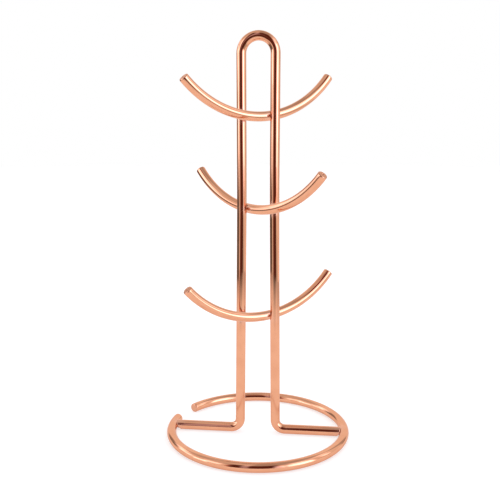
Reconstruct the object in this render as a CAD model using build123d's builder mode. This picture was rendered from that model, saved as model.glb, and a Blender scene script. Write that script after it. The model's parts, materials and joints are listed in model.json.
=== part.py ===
from build123d import *
from math import asin, atan2, cos, degrees, radians, sin, sqrt, tan
import os

# Mug tree bent from round steel wire and spot welded together.
#
# Frame: the origin is the centre of the base ring on the floor, +Z is up, +X runs along the
# feet towards the right foot, and -Y is the front. Lengths are millimetres, angles degrees.

# ---------------------------------------------------------------- driving dimensions
wire_diameter = 8.0
overall_height = 338.0
base_outer_diameter = 157.0

# Post frame: two legs that close up from the floor to a waist, then run up to a round loop
leg_spacing_at_floor = 30.6
leg_spacing_at_waist = 27.0
leg_spacing_at_loop = 27.6
waist_height = 205.0
waist_blend_length = 60.0
heel_bend_radius = 8.0
left_foot_cut_angle = 28.0
right_foot_cut_angle = 18.0

# Base ring: an open ring whose gap is behind the left foot
ring_stub_angle = 169.0
ring_tail_angle = 149.0

# Hook arms: three equal arcs, each threaded between the legs
arm_bend_radius = 89.0
arm_half_angle = 49.7

# Name, height of the lowest point of its centreline, side (+1 in front of the left leg and
# behind the right one, -1 the other way), slide along its length, and roll along its own arc
arm_places = [
    ("upper_arm", 270.4, +1, -0.9, 2.4),
    ("middle_arm", 194.5, -1, -1.5, 0.0),
    ("lower_arm", 103.4, +1, 2.1, 1.2),
]

# Wire ends and welds
end_round = 0.9
dimple_diameter = 1.7
dimple_depth = 1.1
dimple_taper = 20.0
weld_seam = 0.12
spot_weld_waist_radius = 2.5
spot_weld_rim_radius = 3.4
spot_weld_half_width = 1.5
foot_weld_radius = 3.4
foot_weld_setback = 0.8
foot_weld_inset = 0.6

# ---------------------------------------------------------------- worked-out dimensions
wire_radius = wire_diameter / 2
ring_radius = base_outer_diameter / 2 - wire_radius
loop_radius = leg_spacing_at_loop / 2
loop_centre_height = overall_height - wire_radius - loop_radius
lower_lean = degrees(atan2((leg_spacing_at_floor - leg_spacing_at_waist) / 2, waist_height))
upper_lean = degrees(
    atan2((leg_spacing_at_loop - leg_spacing_at_waist) / 2, loop_centre_height - waist_height)
)
waist_bend_radius = waist_blend_length / radians(lower_lean + upper_lean)

os.makedirs("parts", exist_ok=True)


def leg_offset(height):
    """Distance of either leg's centreline from the middle plane at a height."""
    if height < waist_height:
        away_from_waist = (waist_height - height) * tan(radians(lower_lean))
    else:
        away_from_waist = (height - waist_height) * tan(radians(upper_lean))
    return leg_spacing_at_waist / 2 + away_from_waist


def wire_section(path):
    """Plane across the start of a wire's centreline."""
    return Plane(origin=path @ 0, z_dir=path % 0)


def foot_length(cut_angle):
    """Distance from the middle to a foot's end that stops one weld seam short of the ring."""
    return ring_radius - (wire_radius + weld_seam) / cos(radians(cut_angle))


def cut_plane(foot_end, angle):
    """Plane through a foot's end, leaning so that the bottom of the wire is shorter."""
    side = 1 if foot_end > 0 else -1
    return Plane(
        origin=(foot_end, 0, wire_radius),
        x_dir=(0, 1, 0),
        z_dir=(side * cos(radians(angle)), 0, -sin(radians(angle))),
    )


def arm_azimuth(height, side):
    """Direction in plan that makes an arm just clear both legs by the weld seam."""
    clearance = wire_diameter + weld_seam
    return side * degrees(asin(clearance / leg_offset(height)))


def arm_plane(azimuth):
    """Upright plane through the middle of the post that holds one arm's centreline."""
    along = (cos(radians(azimuth)), sin(radians(azimuth)), 0)
    across = (sin(radians(azimuth)), -cos(radians(azimuth)), 0)
    return Plane(origin=(0, 0, 0), x_dir=along, z_dir=across)


def save(node, name):
    """Label a finished piece and write it as its own STEP file."""
    node.part.label = name
    export_step(node.part, f"parts/{name}.step")


# ---------------------------------------------------------------- post frame
left_foot_end = -foot_length(left_foot_cut_angle)
right_foot_end = foot_length(right_foot_cut_angle)
spare_wire = wire_diameter
shoulder_x = loop_radius * cos(radians(upper_lean))
shoulder_z = loop_centre_height - loop_radius * sin(radians(upper_lean))
heel_start = leg_offset(heel_bend_radius) + heel_bend_radius

with BuildPart() as post_frame:
    with BuildLine(Plane.XZ) as post_path:
        left_foot = Line((left_foot_end - spare_wire, wire_radius), (-heel_start, wire_radius))
        left_heel = JernArc(left_foot @ 1, left_foot % 1, heel_bend_radius, 90 - lower_lean)
        left_leg = FilletPolyline(
            left_heel @ 1,
            (-leg_offset(waist_height), waist_height),
            (-shoulder_x, shoulder_z),
            radius=waist_bend_radius,
        )
        loop = JernArc(left_leg @ 1, left_leg % 1, loop_radius, -180 - 2 * upper_lean)
        right_foot = Line((right_foot_end + spare_wire, wire_radius), (heel_start, wire_radius))
        right_heel = JernArc(right_foot @ 1, right_foot % 1, heel_bend_radius, lower_lean - 90)
        FilletPolyline(
            right_heel @ 1,
            (leg_offset(waist_height), waist_height),
            loop @ 1,
            radius=waist_bend_radius,
        )
    with BuildSketch(wire_section(post_path.wire())):
        Circle(wire_radius)
    sweep(path=post_path.wire())
    # The feet are sheared at a slant, so only the top half of each end meets the ring
    split(bisect_by=cut_plane(left_foot_end, left_foot_cut_angle), keep=Keep.BOTTOM)
    split(bisect_by=cut_plane(right_foot_end, right_foot_cut_angle), keep=Keep.BOTTOM)

save(post_frame, "post_frame")

# ---------------------------------------------------------------- base ring
with BuildPart() as base_ring:
    with BuildLine(Plane.XY.offset(wire_radius)) as ring_path:
        CenterArc((0, 0), ring_radius, ring_stub_angle, 360 + ring_tail_angle - ring_stub_angle)
    with BuildSketch(wire_section(ring_path.wire())):
        Circle(wire_radius)
    sweep(path=ring_path.wire())
    fillet(base_ring.faces().filter_by(GeomType.PLANE).edges(), end_round)

save(base_ring, "base_ring")


# ---------------------------------------------------------------- hook arms
def bend_arm(height, azimuth, slide, roll):
    """Arc of wire with both ends up, rounded ends and a small dimple in each end face."""
    with BuildPart() as arm:
        with BuildLine(arm_plane(azimuth)) as arm_path:
            CenterArc(
                (slide, height + arm_bend_radius),
                arm_bend_radius,
                270 - arm_half_angle + roll,
                2 * arm_half_angle,
            )
        with BuildSketch(wire_section(arm_path.wire())):
            Circle(wire_radius)
        sweep(path=arm_path.wire())
        end_faces = arm.faces().filter_by(GeomType.PLANE)
        end_planes = [Plane(face) for face in end_faces]
        fillet(end_faces.edges(), end_round)
        with BuildSketch(*end_planes):
            Circle(dimple_diameter / 2)
        extrude(amount=-dimple_depth, taper=dimple_taper, mode=Mode.SUBTRACT)
    return arm


# ---------------------------------------------------------------- spot welds on the arms
def spot_weld(arm, leg_x, height, azimuth, slide):
    """Waisted nugget that fills the crevice where an arm crosses a leg."""
    along = leg_x * cos(radians(azimuth))
    arm_height = height + arm_bend_radius - sqrt(arm_bend_radius**2 - (along - slide) ** 2)
    arm_point = Vector(along * cos(radians(azimuth)), along * sin(radians(azimuth)), arm_height)
    leg_point = Vector(leg_x, 0, arm_height)
    towards_arm = (arm_point - leg_point).normalized()
    profile = Plane(
        origin=(arm_point + leg_point) / 2,
        x_dir=(0, 0, 1),
        z_dir=towards_arm.cross(Vector(0, 0, 1)),
    )
    with BuildPart() as weld:
        with BuildSketch(profile):
            with BuildLine():
                flank = ThreePointArc(
                    (spot_weld_rim_radius, -spot_weld_half_width),
                    (spot_weld_waist_radius, 0),
                    (spot_weld_rim_radius, spot_weld_half_width),
                )
                Polyline(
                    flank @ 1,
                    (0, spot_weld_half_width),
                    (0, -spot_weld_half_width),
                    flank @ 0,
                )
            make_face()
        revolve(axis=Axis(profile.origin, towards_arm))
        add(post_frame.part, mode=Mode.SUBTRACT)
        add(arm.part, mode=Mode.SUBTRACT)
    return weld


for name, height, side, slide, roll in arm_places:
    azimuth = arm_azimuth(height, side)
    arm = bend_arm(height, azimuth, slide, roll)
    save(arm, name)
    for leg_name, leg_side in [("left", -1), ("right", 1)]:
        weld = spot_weld(arm, leg_side * leg_offset(height), height, azimuth, slide)
        save(weld, f"{name}_{leg_name}_weld")


# ---------------------------------------------------------------- welds at the feet
def foot_weld(side):
    """Bead of weld metal under a foot's leaning cut, between the foot and the inside of the ring."""
    ring_inside = ring_radius - wire_radius
    with BuildPart() as weld:
        with Locations((side * (ring_inside - foot_weld_inset), foot_weld_setback, wire_radius)):
            Sphere(foot_weld_radius)
        add(post_frame.part, mode=Mode.SUBTRACT)
        add(base_ring.part, mode=Mode.SUBTRACT)
    return weld


for name, side in [("left_foot_weld", -1), ("right_foot_weld", +1)]:
    save(foot_weld(side), name)
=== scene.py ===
import json
import math

import bpy
import numpy as np
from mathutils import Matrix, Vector


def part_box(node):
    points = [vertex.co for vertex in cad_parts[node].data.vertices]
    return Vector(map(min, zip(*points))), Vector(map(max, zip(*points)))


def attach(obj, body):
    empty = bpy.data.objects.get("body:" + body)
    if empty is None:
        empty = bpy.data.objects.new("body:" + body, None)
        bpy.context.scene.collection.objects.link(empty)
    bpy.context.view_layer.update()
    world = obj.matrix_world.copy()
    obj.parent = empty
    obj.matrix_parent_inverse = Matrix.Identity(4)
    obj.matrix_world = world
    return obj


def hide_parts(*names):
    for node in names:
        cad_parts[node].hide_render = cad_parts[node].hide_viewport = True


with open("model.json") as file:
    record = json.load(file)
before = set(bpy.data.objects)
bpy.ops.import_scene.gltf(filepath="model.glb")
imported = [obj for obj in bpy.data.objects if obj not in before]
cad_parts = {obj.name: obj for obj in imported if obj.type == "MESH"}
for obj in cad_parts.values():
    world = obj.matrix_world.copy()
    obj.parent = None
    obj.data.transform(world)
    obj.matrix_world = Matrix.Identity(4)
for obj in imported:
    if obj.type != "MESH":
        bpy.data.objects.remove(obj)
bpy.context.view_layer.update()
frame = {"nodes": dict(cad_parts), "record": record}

# ---------------------------------------------------------------- sizes read from the frame
mounts = {m["name"]: m for m in frame["record"]["mounts"]}


def node_points(node):
    """A CAD node's vertices at rest, in metres."""
    return np.array([v.co for v in frame["nodes"][node].data.vertices])


ring_low, ring_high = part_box("base_ring")
post_low, post_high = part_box("post_frame")
WIRE_R = (ring_high.z - ring_low.z) / 2
RING_R = (ring_high.x - ring_low.x) / 2 - WIRE_R
TOP_OF_POST = 0.9 * post_high.z
post_points = node_points("post_frame")
LOOP_R = post_points[post_points[:, 2] > TOP_OF_POST, 0].max() - WIRE_R
LOOP_Z = post_high.z - WIRE_R - LOOP_R

# ---------------------------------------------------------------- design values of the wire
LEG_OFFSET_AT_FLOOR = 0.0153
LEG_OFFSET_AT_WAIST = 0.0135
WAIST_Z = 0.205
WAIST_BLEND = 0.060
HEEL_BEND = 0.008
FOOT_CUT_DEGREES = {"left": 28, "right": 18}
FOOT_SLANT = {foot: math.tan(math.radians(cut)) for foot, cut in FOOT_CUT_DEGREES.items()}
END_ROUND = 0.0009
FOOT_ROUND = 0.0005
DIMPLE_R = 0.00085
DIMPLE_DEPTH = 0.0011
NUGGET_WAIST = 0.0025
NUGGET_FLARE = 0.0009
NUGGET_REACH = 0.0030
NUGGET_LUMP = 0.07
BEAD_R = 0.0033
BEAD_LUMP = 0.06
BEAD_INSET = 0.0006
BEAD_SETBACK = 0.0008
WELD_HALO = 0.009

SIDES = 56
STEP = 0.0016
UV_MARGIN = 0.02
END_RINGS = 7
CUT_FACE_SHARE = 0.97
ARMS = ("upper", "middle", "lower")


# ---------------------------------------------------------------- wires
def straight(a, b):
    """Evenly spaced points from a to b in a wire's own plane."""
    a, b = np.array(a, float), np.array(b, float)
    count = max(2, int(math.ceil(np.linalg.norm(b - a) / STEP)) + 1)
    return a + (b - a) * np.linspace(0, 1, count)[:, None]


def bend(centre, radius, start, end):
    """Evenly spaced points round an arc, angles in radians, anticlockwise if end is larger."""
    count = max(3, int(math.ceil(abs(end - start) * radius / STEP)) + 1)
    angles = np.linspace(start, end, count)
    return np.array(centre) + radius * np.stack([np.cos(angles), np.sin(angles)], axis=1)


def joined(*runs):
    """One path from runs that meet end to end."""
    return np.concatenate([np.atleast_2d(runs[0])] + [run[1:] for run in runs[1:]])


def tube_faces(count, around):
    """Faces that join rings of points into a tube, and close it with a fan at each end."""
    faces = []
    for i in range(count - 1):
        here, there = i * around, (i + 1) * around
        for j in range(around):
            k = (j + 1) % around
            faces.append((here + j, here + k, there + k, there + j))
    last_ring = (count - 1) * around
    first_tip, last_tip = count * around, count * around + 1
    for j in range(around):
        k = (j + 1) % around
        faces.append((first_tip, k, j))
        faces.append((last_tip, last_ring + j, last_ring + k))
    return faces


def end_rings(radius, round_by, dimple):
    """(inset along the wire, ring radius) pairs from the wire's side to the middle of its end."""
    rings = []
    for angle in np.linspace(0, math.pi / 2, END_RINGS):
        rings.append((round_by * (1 - math.sin(angle)), radius - round_by * (1 - math.cos(angle))))
    flat = radius - round_by
    lip = DIMPLE_R * 1.25 if dimple else radius * 0.12
    for share in (0.25, 0.5, 0.75, 1.0):
        rings.append((0.0, flat + (lip - flat) * share))
    if dimple:
        rings.append((DIMPLE_DEPTH * 0.12, DIMPLE_R))
        rings.append((DIMPLE_DEPTH * 0.55, DIMPLE_R * 0.82))
        rings.append((DIMPLE_DEPTH * 0.9, DIMPLE_R * 0.45))
        rings.append((DIMPLE_DEPTH, DIMPLE_R * 0.15))
    return rings


def sweep(name, path, origin, along, up, slants=(0.0, 0.0), round_by=END_ROUND, dimple=False):
    """A round wire swept along a path in the plane of along and up, with rounded, cut ends.

    slants are how much shorter each end is at the bottom than at the top, per unit of height.
    """
    origin, along, up = (np.array(v, float) for v in (origin, along, up))
    across = np.cross(along, up)
    lengths = np.concatenate([[0], np.cumsum(np.linalg.norm(np.diff(path, axis=0), axis=1))])
    total = lengths[-1]
    tangents = np.gradient(path, lengths, axis=0)
    tangents /= np.linalg.norm(tangents, axis=1)[:, None]

    stations = []
    for end, slant in ((0, slants[0]), (1, slants[1])):
        rings = end_rings(WIRE_R, round_by, dimple)
        for inset, ring_radius in rings if end else rings[::-1]:
            stations.append((end, inset, ring_radius, slant))
        if not end:
            reach = round_by + 2 * abs(slant) * WIRE_R
            body = [s for s in lengths if reach + STEP < s < total - STEP - reach]
            stations += [(None, s, WIRE_R, 0.0) for s in body]

    angles = np.arange(SIDES) * 2 * math.pi / SIDES
    vertices, wire_space, cut = [], [], []
    skin, last = [], None
    for end, place, ring_radius, slant in stations:
        a, b = ring_radius * np.cos(angles), ring_radius * np.sin(angles)
        if end is None:
            s = np.full(SIDES, place)
        elif end == 0:
            s = place + slant * (WIRE_R - a)
        else:
            s = total - place - slant * (WIRE_R - a)
        centre = np.stack([np.interp(s, lengths, path[:, k]) for k in (0, 1)], axis=1)
        tangent = np.stack([np.interp(s, lengths, tangents[:, k]) for k in (0, 1)], axis=1)
        tangent /= np.linalg.norm(tangent, axis=1)[:, None]
        side = np.stack([-tangent[:, 1], tangent[:, 0]], axis=1)
        flat = centre + a[:, None] * side
        vertices.append(
            origin
            + flat[:, :1] * along
            + flat[:, 1:] * up
            + b[:, None] * across
        )
        wire_space.append(np.stack([a, b, s], axis=1))
        here = np.array([ring_radius, s.mean()])
        skin.append(0.0 if last is None else skin[-1] + float(np.linalg.norm(here - last)))
        last = here
        on_side = end is None or ring_radius > CUT_FACE_SHARE * WIRE_R
        cut.append(np.full(SIDES, 0.0 if on_side else 1.0))

    count = len(vertices)
    points = np.concatenate(vertices)
    first, last = points[:SIDES].mean(axis=0), points[-SIDES:].mean(axis=0)
    space = np.concatenate(wire_space + [[[0, 0, 0]], [[0, 0, total]]])
    points = np.concatenate([points, [first], [last]])
    faces = tube_faces(count, SIDES)

    mesh = bpy.data.meshes.new(name)
    mesh.from_pydata([tuple(p) for p in points], [], faces)
    mesh.polygons.foreach_set("use_smooth", np.ones(len(faces), bool))
    attribute = mesh.attributes.new("wire_space", "FLOAT_VECTOR", "POINT")
    attribute.data.foreach_set("vector", space.astype(np.float32).ravel())
    shear = mesh.attributes.new("cut", "FLOAT", "POINT")
    shear.data.foreach_set("value", np.concatenate(cut + [[1.0, 1.0]]).astype(np.float32))
    unwrap(mesh, skin)
    mesh.update()
    piece = bpy.data.objects.new(name, mesh)
    bpy.context.scene.collection.objects.link(piece)
    return piece


def unwrap(mesh, skin):
    """UV map that cuts the wire's skin into equal lengths and stacks them as rows."""
    rows = max(1, round(math.sqrt(skin[-1] / (2 * math.pi * WIRE_R))))
    row_length = skin[-1] / rows + STEP
    layer = mesh.uv_layers.new(name="OFBake")
    count = len(skin)
    for polygon in mesh.polygons:
        corners = [mesh.loops[k].vertex_index for k in polygon.loop_indices]
        stations = [min(c // SIDES, count - 1) if c < count * SIDES else None for c in corners]
        tips = {count * SIDES: 0, count * SIDES + 1: count - 1}
        stations = [tips[c] if k is None else k for c, k in zip(corners, stations)]
        spokes = [c % SIDES for c in corners if c < count * SIDES]
        wraps = max(spokes) - min(spokes) > SIDES / 2
        row = min(int(skin[min(stations)] / (skin[-1] / rows + 1e-9)), rows - 1)
        for corner, station, loop in zip(corners, stations, polygon.loop_indices):
            spoke = corner % SIDES if corner < count * SIDES else sum(spokes) / len(spokes)
            if wraps and spoke < SIDES / 2:
                spoke += SIDES
            across = UV_MARGIN + (1 - 2 * UV_MARGIN) * spoke / SIDES
            reach = (skin[station] - row * skin[-1] / rows) / row_length
            layer.data[loop].uv = (0.01 + 0.98 * reach, (row + across) / rows)


def rounded(points, radii):
    """A path through points, with every corner turned on its own radius."""
    points = [np.array(p, float) for p in points]
    path = [points[0]]
    for before, corner, after, radius in zip(points, points[1:], points[2:], radii):
        into = (corner - before) / np.linalg.norm(corner - before)
        out = (after - corner) / np.linalg.norm(after - corner)
        turn = math.atan2(into[0] * out[1] - into[1] * out[0], into.dot(out))
        side = math.copysign(1, turn)
        reach = radius * math.tan(abs(turn) / 2)
        first = corner - into * reach
        centre = first + side * radius * np.array([-into[1], into[0]])
        start = math.atan2(first[1] - centre[1], first[0] - centre[0])
        path = joined(path, straight(path[-1], first), bend(centre, radius, start, start + turn))
    return joined(path, straight(path[-1], points[-1]))


def post_wire():
    """Left foot, heel, leg, loop, leg, heel and right foot in one wire."""
    lower_lean = (LEG_OFFSET_AT_FLOOR - LEG_OFFSET_AT_WAIST) / WAIST_Z
    upper_lean = (LOOP_R - LEG_OFFSET_AT_WAIST) / (LOOP_Z - WAIST_Z)
    foot_x = LEG_OFFSET_AT_WAIST + lower_lean * (WAIST_Z - WIRE_R)
    bends = [HEEL_BEND, WAIST_BLEND / (lower_lean + upper_lean)]
    shoulder = (LOOP_R * math.cos(upper_lean), LOOP_Z - LOOP_R * math.sin(upper_lean))
    halves = {}
    for side, foot_end in ((-1, post_low.x), (1, post_high.x)):
        corners = [
            (foot_end, WIRE_R),
            (side * foot_x, WIRE_R),
            (side * LEG_OFFSET_AT_WAIST, WAIST_Z),
            (side * shoulder[0], shoulder[1]),
        ]
        halves[side] = rounded(corners, bends)
    loop = bend((0, LOOP_Z), LOOP_R, math.pi + upper_lean, -upper_lean)
    path = joined(halves[-1], loop, halves[1][::-1])
    slants = (FOOT_SLANT["left"], FOOT_SLANT["right"])
    return sweep("post_wire", path, (0, 0, 0), (1, 0, 0), (0, 0, 1), slants, FOOT_ROUND)


def ring_wire():
    """The open base ring, from the stub by the left foot round the front to its tail."""
    points = node_points("base_ring")
    angles = np.sort(np.unique(np.round(np.arctan2(points[:, 1], points[:, 0]), 5)))
    gaps = np.diff(angles)
    widest = int(np.argmax(gaps))
    tail, stub = angles[widest], angles[widest + 1]
    path = bend((0, 0), RING_R, stub, tail + 2 * math.pi)
    return sweep("ring_wire", path, (0, 0, WIRE_R), (1, 0, 0), (0, 1, 0))


def arm_wire(arm):
    """One arc between its two hook mounts, which give its ends and their directions."""
    left, right = mounts[f"{arm}_left_hook"], mounts[f"{arm}_right_hook"]
    a, b = Vector(left["pos_m"]), Vector(right["pos_m"])
    along = Vector((b.x - a.x, b.y - a.y, 0)).normalized()
    ends = [(a.dot(along), a.z), (b.dot(along), b.z)]
    into, out = -Vector(left["axis"]), Vector(right["axis"])
    start = math.atan2(into.z, into.dot(along))
    finish = math.atan2(out.z, out.dot(along))
    chord = math.dist(ends[0], ends[1])
    radius = chord / (2 * math.sin((finish - start) / 2))
    centre = (ends[1][0] - radius * math.sin(finish), ends[1][1] + radius * math.cos(finish))
    path = bend(centre, radius, start - math.pi / 2, finish - math.pi / 2)
    return sweep(f"{arm}_arm_wire", path, (0, 0, 0), along, (0, 0, 1), dimple=True)


# ---------------------------------------------------------------- weld metal
def closed_surface(name, rings, first, last):
    """A closed smooth mesh through rings of points, ending in a point at each side."""
    rings = np.array(rings)
    count, around = rings.shape[:2]
    faces = tube_faces(count, around)
    points = np.concatenate([rings.reshape(-1, 3), [first], [last]])
    mesh = bpy.data.meshes.new(name)
    mesh.from_pydata([tuple(p) for p in points], [], faces)
    mesh.polygons.foreach_set("use_smooth", np.ones(len(faces), bool))
    mesh.update()
    piece = bpy.data.objects.new(name, mesh)
    bpy.context.scene.collection.objects.link(piece)
    return piece


def lumps(angle, along, seed):
    """Uneven swelling between about -1 and 1 that differs from one bead to the next."""
    return (
        0.45 * math.sin(2 * angle + 1.7 * seed + 0.8 * along)
        + 0.30 * math.sin(3 * angle - 2.3 * seed - 1.9 * along)
        + 0.25 * math.sin(7 * angle + 4.1 * seed + 3.1 * along)
    )


def leg_offset(height):
    """Distance of either leg's centreline from the middle plane at a height."""
    if height < WAIST_Z:
        share = (WAIST_Z - height) / WAIST_Z
        return LEG_OFFSET_AT_WAIST + share * (LEG_OFFSET_AT_FLOOR - LEG_OFFSET_AT_WAIST)
    share = (height - WAIST_Z) / (LOOP_Z - WAIST_Z)
    return LEG_OFFSET_AT_WAIST + share * (LOOP_R - LEG_OFFSET_AT_WAIST)


def nugget(name, node, seed):
    """Waisted ring of squeezed-out weld metal in the crevice between an arm and a leg."""
    low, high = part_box(node)
    centre = np.array((low + high) / 2)
    leg_x = math.copysign(leg_offset(centre[2]), centre[0])
    axis = np.array([centre[0] - leg_x, centre[1], 0])
    axis /= np.linalg.norm(axis)
    side = np.cross(axis, (0, 0, 1))
    rings = []
    for share in np.linspace(-1, 1, 17):
        along = share * NUGGET_REACH
        girth = NUGGET_WAIST + NUGGET_FLARE * min(abs(share) / 0.62, 1) ** 2
        girth *= math.sqrt(max(0.0, 1 - max(0.0, (abs(share) - 0.75) / 0.25) ** 2)) * 0.9 + 0.1
        ring = []
        for angle in np.linspace(0, 2 * math.pi, 49)[:-1]:
            radius = girth * (1 + NUGGET_LUMP * lumps(angle, share, seed))
            spoke = math.cos(angle) * side + math.sin(angle) * np.array([0, 0, 1])
            ring.append(centre + along * axis + radius * spoke)
        rings.append(ring)
    reach = NUGGET_REACH * 1.02 * axis
    return closed_surface(name, rings, centre - reach, centre + reach)


def foot_bead(name, side, seed):
    """Lumpy bead under a foot's leaning cut, joining it to the inside of the ring."""
    # The bead sits forward under the cut so that its darker weld colour fills the gap there as
    # painted shade
    centre = np.array([side * (RING_R - WIRE_R - BEAD_INSET), BEAD_SETBACK, WIRE_R])
    rings = []
    for tilt in np.linspace(-math.pi / 2, math.pi / 2, 19)[1:-1]:
        ring = []
        for angle in np.linspace(0, 2 * math.pi, 41)[:-1]:
            radius = BEAD_R * (1 + BEAD_LUMP * lumps(angle, 1.5 * tilt, seed))
            spoke = np.array([math.cos(angle), math.sin(angle), 0]) * math.cos(tilt)
            ring.append(centre + radius * (spoke + np.array([0, 0, math.sin(tilt)])))
        rings.append(ring)
    return closed_surface(
        name, rings, centre - (0, 0, BEAD_R * 0.98), centre + (0, 0, BEAD_R * 0.98)
    )


wires = [post_wire(), ring_wire()] + [arm_wire(arm) for arm in ARMS]
for wire, node in zip(wires, ["post_frame", "base_ring"] + [f"{arm}_arm" for arm in ARMS]):
    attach(wire, "root")
    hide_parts(node)
for wire in wires[:2]:
    wire.visible_glossy = False

beads = []
for arm in ARMS:
    for leg in ("left", "right"):
        node = f"{arm}_arm_{leg}_weld"
        bead = nugget(f"{arm}_{leg}_weld_nugget", node, len(beads) + 1)
        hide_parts(node)
        beads.append(bead)
for leg, side in (("left", -1), ("right", 1)):
    bead = foot_bead(f"{leg}_foot_weld_bead", side, len(beads) + 1)
    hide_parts(f"{leg}_foot_weld")
    beads.append(bead)
for bead in beads:
    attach(bead, "root")


def mark_near_welds(piece):
    """Attribute that rises from 0 to 1 as the wire's skin nears a weld."""
    points = np.array([v.co for v in piece.data.vertices])
    nearest = np.full(len(points), 1.0)
    for bead in beads:
        centre = np.mean([v.co for v in bead.data.vertices], axis=0)
        nearest = np.minimum(nearest, np.linalg.norm(points - centre, axis=1))
    share = np.clip((WELD_HALO - nearest) / (WELD_HALO - WIRE_R), 0, 1)
    halo = piece.data.attributes.new("near_weld", "FLOAT", "POINT")
    halo.data.foreach_set("value", (share * share * (3 - 2 * share)).astype(np.float32))


for wire in wires:
    mark_near_welds(wire)


# ---------------------------------------------------------------- node helpers
class Nodes:
    """Short calls for building a node tree."""

    def __init__(self, tree):
        self.tree = tree

    def add(self, kind, settings=None, **inputs):
        """A node with some of its settings and inputs filled in."""
        node = self.tree.nodes.new(kind)
        for key, value in (settings or {}).items():
            setattr(node, key, value)
        for key, value in inputs.items():
            self.feed(node.inputs[key.replace("_", " ")], value)
        return node

    def feed(self, socket, value):
        """Link a socket to another node's output, or set its value."""
        if isinstance(value, bpy.types.NodeSocket):
            self.tree.links.new(value, socket)
        else:
            socket.default_value = value

    def math(self, operation, a, b=0.0, c=0.0, clamp=False):
        """The result of one arithmetic step."""
        node = self.add("ShaderNodeMath", {"operation": operation, "use_clamp": clamp})
        for socket, value in zip(node.inputs, (a, b, c)):
            self.feed(socket, value)
        return node.outputs[0]

    def ramp(self, value, low, high, start=0.0, end=1.0):
        """A smooth step from start to end as value goes from low to high."""
        node = self.add("ShaderNodeMapRange", {"interpolation_type": "SMOOTHSTEP"})
        for socket, given in zip(node.inputs, (value, low, high, start, end)):
            self.feed(socket, given)
        return node.outputs[0]

    def band(self, value, low, high, soft):
        """One between low and high, and zero outside, with soft edges."""
        rise = self.ramp(value, low - soft / 2, low + soft / 2)
        fall = self.ramp(value, high - soft / 2, high + soft / 2, 1.0, 0.0)
        return self.math("MULTIPLY", rise, fall)


# ---------------------------------------------------------------- materials
def wire_plating():
    """Bright copper plating over drawn wire, with painted light that makes it paler by the welds
    where the crevices mirror dark metal, and duller on the cut ends.
    """
    material = bpy.data.materials.new("copper_plated_wire")
    material.use_nodes = True
    nodes = Nodes(material.node_tree)
    shader = material.node_tree.nodes["Principled BSDF"]
    attribute = {"attribute_type": "GEOMETRY"}
    space = nodes.add("ShaderNodeAttribute", {**attribute, "attribute_name": "wire_space"})
    cut = nodes.add("ShaderNodeAttribute", {**attribute, "attribute_name": "cut"}).outputs["Fac"]
    halo = nodes.add("ShaderNodeAttribute", {**attribute, "attribute_name": "near_weld"})
    halo = halo.outputs["Fac"]
    space = space.outputs["Vector"]

    def stretched(x, y, z):
        scale = nodes.add("ShaderNodeVectorMath", {"operation": "MULTIPLY"})
        nodes.feed(scale.inputs[0], space)
        scale.inputs[1].default_value = (x, y, z)
        return scale.outputs[0]

    def noise(vector, scale, detail=2.0):
        return nodes.add(
            "ShaderNodeTexNoise", Vector=vector, Scale=scale, Detail=detail
        ).outputs["Fac"]

    draw_lines = noise(stretched(1, 1, 0.012), 4200, 3)
    scuffs = noise(stretched(1, 1, 0.05), 900, 2)
    clouds = noise(space, 75, 3)
    swell = noise(stretched(1, 1, 0.35), 150, 1)
    shear_lines = noise(stretched(1, 0.06, 1), 3600, 2)
    pits = nodes.add("ShaderNodeTexVoronoi", Vector=space, Scale=520.0).outputs["Distance"]
    rare = nodes.ramp(noise(space, 240, 1), 0.60, 0.70)
    pits = nodes.math("MULTIPLY", nodes.ramp(pits, 0.05, 0.16, 1.0, 0.0), rare)
    cloud = nodes.ramp(clouds, 0.35, 0.70)
    scuff = nodes.ramp(scuffs, 0.58, 0.74)

    def blend(share, below, above):
        mix = nodes.add("ShaderNodeMix", {"data_type": "RGBA"})
        nodes.feed(mix.inputs[0], share)
        nodes.feed(mix.inputs["A"], below)
        nodes.feed(mix.inputs["B"], above)
        return mix.outputs[2]

    colour = blend(cloud, (0.835, 0.400, 0.238, 1), (0.800, 0.370, 0.214, 1))
    # painted light: near the welds the colour turns paler and less red to lighten the dark
    # reflections by the crevices
    colour = blend(nodes.math("MULTIPLY", halo, 0.6), colour, (0.86, 0.47, 0.34, 1))
    colour = blend(nodes.math("MULTIPLY", cut, 0.7), colour, (0.70, 0.345, 0.22, 1))
    colour = blend(nodes.math("MULTIPLY", pits, 0.75), colour, (0.30, 0.12, 0.07, 1))
    nodes.feed(shader.inputs["Base Color"], colour)

    rough = nodes.math("MULTIPLY_ADD", cloud, 0.030, 0.045)
    rough = nodes.math("MULTIPLY_ADD", scuff, 0.055, rough)
    rough = nodes.math("MULTIPLY_ADD", draw_lines, 0.020, rough)
    rough = nodes.math("MULTIPLY_ADD", halo, 0.20, rough)
    rough = nodes.math("MULTIPLY_ADD", cut, 0.15, rough)
    rough = nodes.math("MULTIPLY_ADD", pits, 0.30, rough)
    nodes.feed(shader.inputs["Roughness"], rough)
    shader.inputs["Metallic"].default_value = 1
    shader.inputs["Specular Tint"].default_value = (0.86, 0.74, 0.68, 1)

    relief = nodes.math("MULTIPLY", swell, 12.0)
    relief = nodes.math("MULTIPLY_ADD", draw_lines, 0.35, relief)
    relief = nodes.math("MULTIPLY_ADD", nodes.math("MULTIPLY", shear_lines, cut), 9.0, relief)
    relief = nodes.math("MULTIPLY_ADD", pits, -12.0, relief)
    bump = nodes.add("ShaderNodeBump", Height=relief, Strength=1.0, Distance=0.000001)
    nodes.feed(shader.inputs["Normal"], bump.outputs[0])
    return material


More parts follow.
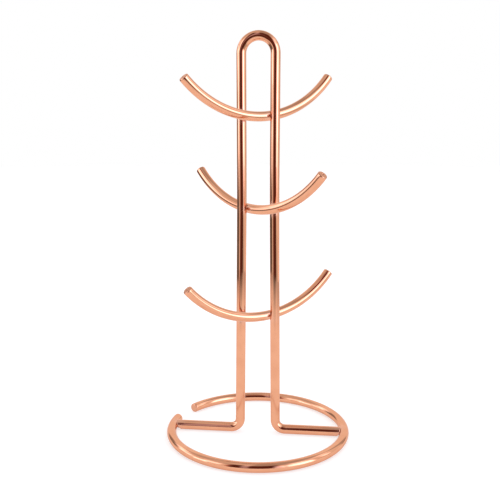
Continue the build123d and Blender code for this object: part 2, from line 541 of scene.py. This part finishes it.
def weld_plating():
    """Copper plating over weld metal: rougher than the wire and finely rippled, and much darker,
    partly as painted shade for the crevices and the gap under a foot that the welds fill.
    """
    material = bpy.data.materials.new("plated_weld")
    material.use_nodes = True
    nodes = Nodes(material.node_tree)
    shader = material.node_tree.nodes["Principled BSDF"]
    place = nodes.add("ShaderNodeTexCoord").outputs["Object"]
    coarse = nodes.add("ShaderNodeTexNoise", Vector=place, Scale=420.0, Detail=3.0)
    fine = nodes.add("ShaderNodeTexNoise", Vector=place, Scale=1800.0, Detail=2.0)
    spots = nodes.ramp(coarse.outputs["Fac"], 0.42, 0.68)
    mix = nodes.add("ShaderNodeMix", {"data_type": "RGBA"})
    nodes.feed(mix.inputs[0], spots)
    # painted shade: both weld colours are darker than the wire's partly to stand in for the shade
    # in the crevices and under the left foot's cut; the spots between them are random tone
    mix.inputs["A"].default_value = (0.62, 0.29, 0.175, 1)
    mix.inputs["B"].default_value = (0.44, 0.20, 0.12, 1)
    nodes.feed(shader.inputs["Base Color"], mix.outputs[2])
    nodes.feed(shader.inputs["Roughness"], nodes.math("MULTIPLY_ADD", spots, 0.16, 0.13))
    shader.inputs["Metallic"].default_value = 1
    relief = nodes.math("MULTIPLY_ADD", coarse.outputs["Fac"], 3.0, fine.outputs["Fac"])
    bump = nodes.add("ShaderNodeBump", Height=relief, Strength=1.0, Distance=0.00006)
    nodes.feed(shader.inputs["Normal"], bump.outputs[0])
    return material


copper = wire_plating()
for wire in wires:
    wire.data.materials.append(copper)
weld_copper = weld_plating()
for bead in beads:
    bead.data.materials.append(weld_copper)

# ---------------------------------------------------------------- studio
TABLE_RADIUS = 0.70
TABLE_DROP = 0.0005
STUDIO_RADIUS = 6.0
DOME_RINGS = 13
FLOOR_GREY = (0.5, 0.5, 0.5, 1)
FLOOR_GLOW = 0.60
TABLE_GLOW = 1.06
PAPER_ROUGHNESS = 0.9
PAPER_SHEEN = 0.1
LAMP_SIZE = 1.4
LAMP_WATTS = 6.0
LAMP_PLACE = (0, 0.1, 1.5)

# Bearings and heights in degrees as (left, right, low, high, softness), then the strength.
# Flags hold light back by a share, and boxes add light.
FLAGS = (
    ((-136, -108, -30, 26, 8), 0.65),
    ((-125, -52, -60, -3, 6), 0.80),
    ((-118, -88, -8, 4, 5), 0.5),
    ((-128, -82, 40, 62, 10), 0.25),
    ((-42, -20, 40, 60, 8), 0.45),
    ((127, 143, -10, 44, 8), 0.5),
    ((40, 78, -90, -9, 8), 0.4),
    ((30, 44, -90, -4, 6), 0.85),
)
BOXES = (
    ((-15, -6, 8, 60, 6), 0.45),
    ((26, 38, 0, 32, 8), 1.1),
    ((41, 75, -3, 30, 6), 1.5),
    ((50, 76, -3, 47, 10), 0.85),
    ((92, 125, -24, -8, 6), 0.2),
    ((92, 104, 14, 34, 6), 1.0),
    ((55, 115, 40, 62, 10), 0.25),
    ((100, 120, 38, 50, 8), 0.4),
    ((-76, -56, -2, 16, 6), 1.7),
    ((-64, -40, 12, 36, 8), 1.0),
    ((-120, -97, 19, 37, 8), 1.0),
    ((-103, -79, 6, 23, 8), 1.2),
)
UPPER_LEFT_GLOW = ((-140, -4, 50, 100, 14), 0.28)
CAMERA_SIDE_GAP = (-31, 34, -100, 54, 8)
GAP_DEPTH = 0.91
GAP_TINT = (1.4, 0.45, 0.3, 1)
BOX_TINT = (0.97, 1.02, 1.35)


def stage_mesh(name, points, faces, seen_by_camera):
    """A part of the set that either the camera or the bright metal sees, but not both."""
    mesh = bpy.data.meshes.new(name)
    mesh.from_pydata(points, [], faces)
    piece = bpy.data.objects.new(name, mesh)
    bpy.context.scene.collection.objects.link(piece)
    piece.visible_camera = seen_by_camera
    piece.visible_glossy = not seen_by_camera
    piece.visible_diffuse = not seen_by_camera
    piece.visible_shadow = not seen_by_camera
    material = bpy.data.materials.new(f"{name}_paper")
    material.use_nodes = True
    mesh.materials.append(material)
    return material.node_tree


def circle(radius, height=0.0, count=96):
    """Points round a level circle about the object's axis."""
    angles = np.linspace(0, 2 * math.pi, count + 1)[:-1]
    return [(radius * math.cos(a), radius * math.sin(a), height) for a in angles]


def white_set():
    """Plain pale floor and a white dome over it, which only the camera sees."""
    rim = circle(STUDIO_RADIUS)
    tree = stage_mesh("floor", rim, [tuple(range(len(rim)))], True)
    shader = tree.nodes["Principled BSDF"]
    shader.inputs["Base Color"].default_value = FLOOR_GREY
    shader.inputs["Roughness"].default_value = PAPER_ROUGHNESS
    shader.inputs["Specular IOR Level"].default_value = PAPER_SHEEN
    shader.inputs["Emission Color"].default_value = (1, 1, 1, 1)
    shader.inputs["Emission Strength"].default_value = FLOOR_GLOW

    points, faces = [], []
    for tilt in np.linspace(0, math.pi / 2, DOME_RINGS)[:-1]:
        points += circle(STUDIO_RADIUS * math.cos(tilt), STUDIO_RADIUS * math.sin(tilt))
    around = len(rim)
    for first in range(0, len(points) - around, around):
        for j in range(around):
            k = (j + 1) % around
            faces.append((first + j, first + k, first + around + k, first + around + j))
    faces.append(tuple(range(len(points) - around, len(points))))
    tree = stage_mesh("backdrop", points, faces, True)
    shader = tree.nodes["Principled BSDF"]
    shader.inputs["Base Color"].default_value = (0, 0, 0, 1)
    shader.inputs["Specular IOR Level"].default_value = 0
    shader.inputs["Emission Color"].default_value = (1, 1, 1, 1)
    shader.inputs["Emission Strength"].default_value = 1.0


def mirrored_table():
    """White round table that the metal mirrors, with painted light and shade in its colour and
    glow that darken it towards its rim and the camera.
    """
    rim = circle(TABLE_RADIUS, -TABLE_DROP)
    tree = stage_mesh("mirrored_table", rim, [tuple(range(len(rim)))], False)
    nodes = Nodes(tree)
    shader = tree.nodes["Principled BSDF"]
    place = nodes.add("ShaderNodeNewGeometry").outputs["Position"]
    axes = nodes.add("ShaderNodeSeparateXYZ", Vector=place).outputs
    # painted light and shade: the table's colour and glow fade nearly to black towards the camera
    # side and dim towards its left and right
    lit = nodes.ramp(axes["Y"], -0.78, -0.28, 0.03, 1.0)
    lit = nodes.math("MULTIPLY", lit, nodes.ramp(axes["X"], -0.75, -0.38, 0.35, 1.0))
    lit = nodes.math("MULTIPLY", lit, nodes.ramp(axes["X"], 0.30, 0.68, 1.0, 0.55))
    tone = nodes.add("ShaderNodeMix", {"data_type": "RGBA"})
    tone.inputs["A"].default_value = (0, 0, 0, 1)
    tone.inputs["B"].default_value = FLOOR_GREY
    nodes.feed(tone.inputs[0], lit)
    nodes.feed(shader.inputs["Base Color"], tone.outputs[2])
    nodes.feed(shader.inputs["Emission Color"], tone.outputs[2])
    shader.inputs["Emission Strength"].default_value = TABLE_GLOW
    shader.inputs["Roughness"].default_value = PAPER_ROUGHNESS
    shader.inputs["Specular IOR Level"].default_value = PAPER_SHEEN


def overhead_light():
    """Large soft lamp over the table, which evens out the floor and isn't mirrored in metal."""
    lamp_data = bpy.data.lights.new("overhead", "AREA")
    lamp_data.size = LAMP_SIZE
    lamp_data.energy = LAMP_WATTS
    lamp = bpy.data.objects.new("overhead", lamp_data)
    lamp.location = LAMP_PLACE
    lamp.visible_glossy = False
    lamp.visible_camera = False
    bpy.context.scene.collection.objects.link(lamp)


def studio_world():
    """White room with softboxes at both sides of the camera and a dark gap between them.

    Bearings are degrees from straight in front of the object, positive to the right.
    """
    world = bpy.data.worlds.new("studio")
    bpy.context.scene.world = world
    world.use_nodes = True
    nodes = Nodes(world.node_tree)
    direction = nodes.add("ShaderNodeTexCoord").outputs["Generated"]
    axes = nodes.add("ShaderNodeSeparateXYZ", Vector=direction).outputs
    backward = nodes.math("MULTIPLY", axes["Y"], -1)
    bearing = nodes.math("DEGREES", nodes.math("ARCTAN2", axes["X"], backward))
    height = nodes.math("DEGREES", nodes.math("ARCSINE", axes["Z"]))

    def patch(left, right, low, high, soft):
        return nodes.math(
            "MULTIPLY", nodes.band(bearing, left, right, soft), nodes.band(height, low, high, soft)
        )

    def darken(light, by, amount):
        return nodes.math("MULTIPLY", light, nodes.math("MULTIPLY_ADD", by, -amount, 1.0))

    light = nodes.ramp(height, 42, 58, 1.03, 0.55)
    light = darken(light, nodes.band(bearing, -118, 118, 40), 0.12)
    place, strength = UPPER_LEFT_GLOW
    light = nodes.math("MULTIPLY_ADD", patch(*place), strength, light)
    for place, amount in FLAGS:
        light = darken(light, patch(*place), amount)
    gap = patch(*CAMERA_SIDE_GAP)
    light = darken(light, gap, GAP_DEPTH)
    glow = 0.0
    for place, strength in BOXES:
        glow = nodes.math("MULTIPLY_ADD", patch(*place), strength, glow)
    room = nodes.add("ShaderNodeMix", {"data_type": "RGBA"})
    room.inputs["A"].default_value = (1, 1, 1, 1)
    room.inputs["B"].default_value = GAP_TINT
    nodes.feed(room.inputs[0], gap)
    room_light = nodes.add("ShaderNodeVectorMath", {"operation": "SCALE"})
    nodes.feed(room_light.inputs[0], room.outputs[2])
    nodes.feed(room_light.inputs["Scale"], light)
    box_light = nodes.add("ShaderNodeVectorMath", {"operation": "SCALE"})
    box_light.inputs[0].default_value = BOX_TINT
    nodes.feed(box_light.inputs["Scale"], glow)
    total = nodes.add("ShaderNodeVectorMath", {"operation": "ADD"})
    nodes.feed(total.inputs[0], room_light.outputs[0])
    nodes.feed(total.inputs[1], box_light.outputs[0])
    nodes.feed(world.node_tree.nodes["Background"].inputs["Color"], total.outputs[0])


white_set()
mirrored_table()
overhead_light()
studio_world()
bpy.context.scene.view_settings.view_transform = "Standard"

# ---------------------------------------------------------------- camera
CAMERA_PLACE = (0.0573, -0.5737, 0.2532)
CAMERA_AIM = (-0.1096, 0.9813, -0.1583)
SENSOR_MM = 36
LENS_MM = 50.31

camera_data = bpy.data.cameras.new("camera")
camera_data.sensor_width = SENSOR_MM
camera_data.lens = LENS_MM
camera = bpy.data.objects.new("camera", camera_data)
bpy.context.scene.collection.objects.link(camera)
camera.location = CAMERA_PLACE
camera.rotation_euler = Vector(CAMERA_AIM).to_track_quat("-Z", "Y").to_euler()
bpy.context.scene.camera = camera
